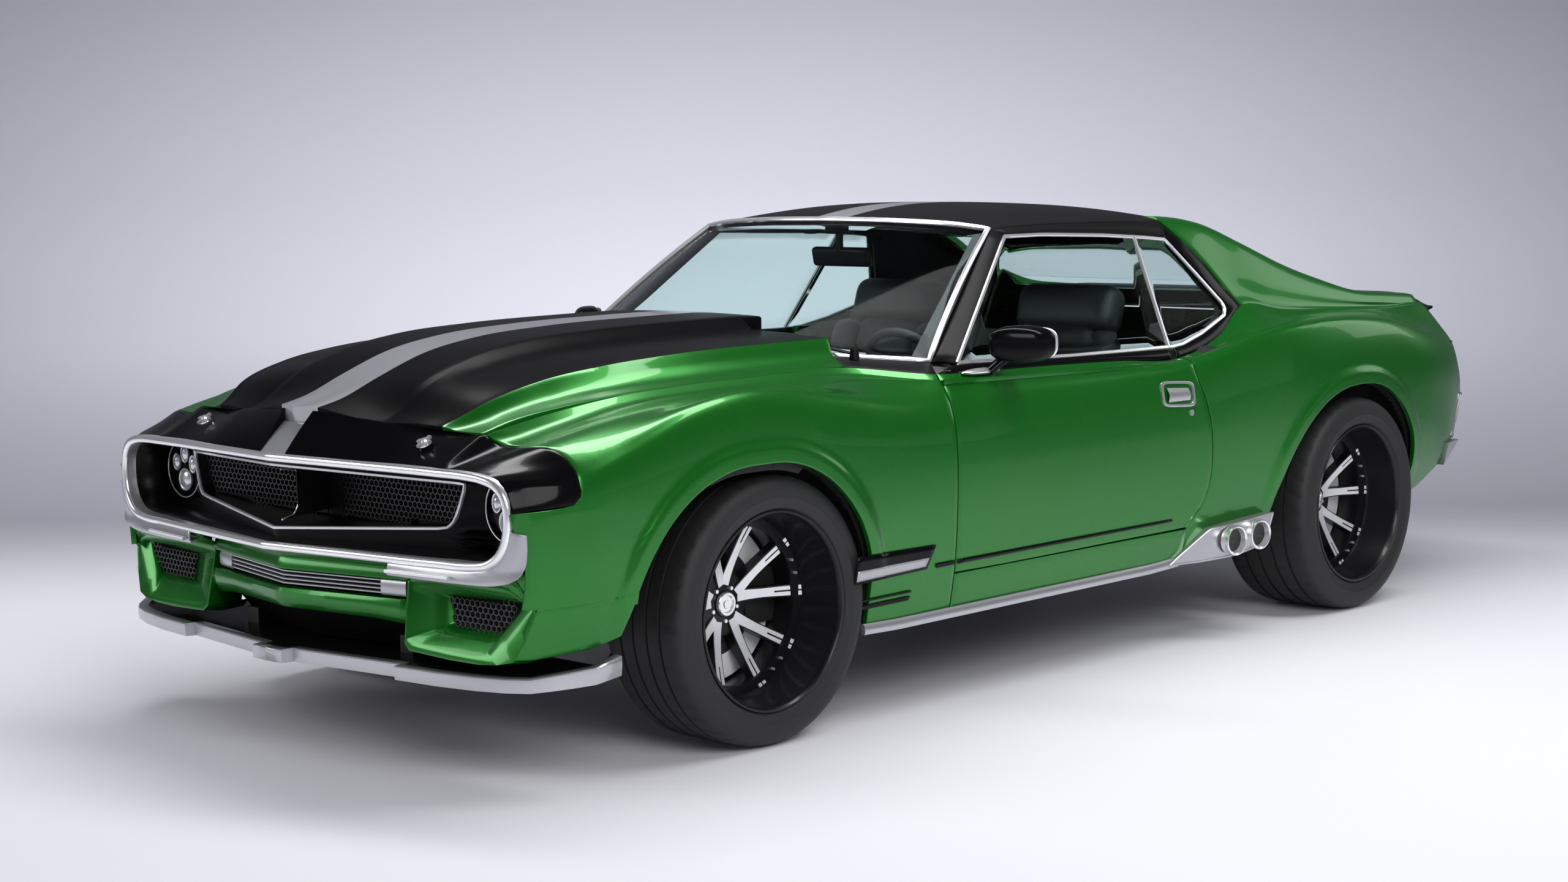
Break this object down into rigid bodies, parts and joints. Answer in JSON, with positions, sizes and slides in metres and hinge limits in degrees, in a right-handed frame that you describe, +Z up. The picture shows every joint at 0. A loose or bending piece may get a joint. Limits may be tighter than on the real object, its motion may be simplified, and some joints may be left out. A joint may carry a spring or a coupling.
{
  "type": "muscle car",
  "caption": "Two-door fastback-style coupe with opening doors, hood and boot lid, steered front wheels and a hollow cabin with seats.",
  "frame": {"origin": "on the ground under the centre of the car, half-way between the axles", "axes": "+X to the car's left, +Y to its rear, +Z up"},
  "size_m": [1.994, 4.742, 1.4],
  "materials": {
    "green_paint": "metallic gloss",
    "black_paint": "satin",
    "gloss_black": "gloss",
    "roof_black": "matt vinyl",
    "bright_trim": "polished",
    "satin_silver": "satin",
    "black_plastic": "matt",
    "tinted_glass": "tinted",
    "lamp_lens": "clear",
    "red_lens": "red",
    "seat_leather": "satin",
    "cabin_plastic": "grained",
    "wheel_black": "gloss",
    "disc_steel": "machined",
    "tyre_rubber": "matt",
    "chassis_black": "satin",
    "engine_iron": "cast"
  },
  "bodies": {
    "body": {"body_shell": "green_paint", "roof_panel": "roof_black", "front_fender_left": "green_paint", "front_fender_right": "green_paint", "nose_cap": "gloss_black", "grille_ring": "bright_trim", "grille_insert": "black_plastic", "headlamps": "lamp_lens", "front_valance": "green_paint", "lower_grille": "black_plastic", "front_splitter": "black_plastic", "windshield": "tinted_glass", "rear_glass": "tinted_glass", "quarter_glass": "tinted_glass", "spoiler_ends": "black_paint", "tail_lamps": "red_lens", "rear_bumper": "satin_silver", "side_exhausts": "satin_silver", "front_seats": "seat_leather", "rear_bench": "seat_leather", "dashboard": "cabin_plastic", "steering_wheel": "cabin_plastic", "inside_mirror": "black_plastic", "engine": "engine_iron", "front_subframe": "chassis_black", "rear_axle": "chassis_black", "fuel_tank": "chassis_black"},
    "hood": {"hood": "green_paint"},
    "decklid": {"decklid": "green_paint", "spoiler": "black_paint"},
    "door_left": {"door_left": "green_paint", "door_glass_left": "tinted_glass", "door_mirror_left": "gloss_black"},
    "door_right": {"door_right": "green_paint", "door_glass_right": "tinted_glass", "door_mirror_right": "gloss_black"},
    "knuckle_left": {"knuckle_front_left": "chassis_black"},
    "knuckle_right": {"knuckle_front_right": "chassis_black"},
    "wheel_front_left": {"tyre_front_left": "tyre_rubber", "rim_front_left": "wheel_black", "brake_disc_front_left": "disc_steel"},
    "wheel_front_right": {"tyre_front_right": "tyre_rubber", "rim_front_right": "wheel_black", "brake_disc_front_right": "disc_steel"},
    "wheel_rear_left": {"tyre_rear_left": "tyre_rubber", "rim_rear_left": "wheel_black", "brake_disc_rear_left": "disc_steel"},
    "wheel_rear_right": {"tyre_rear_right": "tyre_rubber", "rim_rear_right": "wheel_black", "brake_disc_rear_right": "disc_steel"}
  },
  "joints": [
    {"name": "hood_hinge", "type": "hinge", "parent": "body", "child": "hood", "pos_m": [0, -0.785, 1.087], "axis": [-1, 0, 0], "range_deg": [0, 50]},
    {"name": "decklid_hinge", "type": "hinge", "parent": "body", "child": "decklid", "pos_m": [0, 1.64, 1.048], "axis": [1, 0, 0], "range_deg": [0, 60]},
    {"name": "door_left_hinge", "type": "hinge", "parent": "body", "child": "door_left", "pos_m": [0.926, -0.662, 0.65], "axis": [0, 0, -1], "range_deg": [0, 65]},
    {"name": "door_right_hinge", "type": "hinge", "parent": "body", "child": "door_right", "pos_m": [-0.926, -0.662, 0.65], "axis": [0, 0, 1], "range_deg": [0, 65]},
    {"name": "steer_left", "type": "hinge", "parent": "body", "child": "knuckle_left", "pos_m": [0.6, -1.397, 0.362], "axis": [0, 0, 1], "range_deg": [-30, 30]},
    {"name": "steer_right", "type": "hinge", "parent": "body", "child": "knuckle_right", "pos_m": [-0.6, -1.397, 0.362], "axis": [0, 0, 1], "range_deg": [-30, 30]},
    {"name": "spin_front_left", "type": "hinge", "parent": "knuckle_left", "child": "wheel_front_left", "pos_m": [0.75, -1.397, 0.362], "axis": [1, 0, 0], "continuous": true},
    {"name": "spin_front_right", "type": "hinge", "parent": "knuckle_right", "child": "wheel_front_right", "pos_m": [-0.75, -1.397, 0.362], "axis": [1, 0, 0], "continuous": true},
    {"name": "spin_rear_left", "type": "hinge", "parent": "body", "child": "wheel_rear_left", "pos_m": [0.8, 1.397, 0.362], "axis": [1, 0, 0], "continuous": true},
    {"name": "spin_rear_right", "type": "hinge", "parent": "body", "child": "wheel_rear_right", "pos_m": [-0.8, 1.397, 0.362], "axis": [1, 0, 0], "continuous": true}
  ],
  "couplings": [
    {"joint": "steer_right", "follows": "steer_left", "ratio": 1}
  ]
}
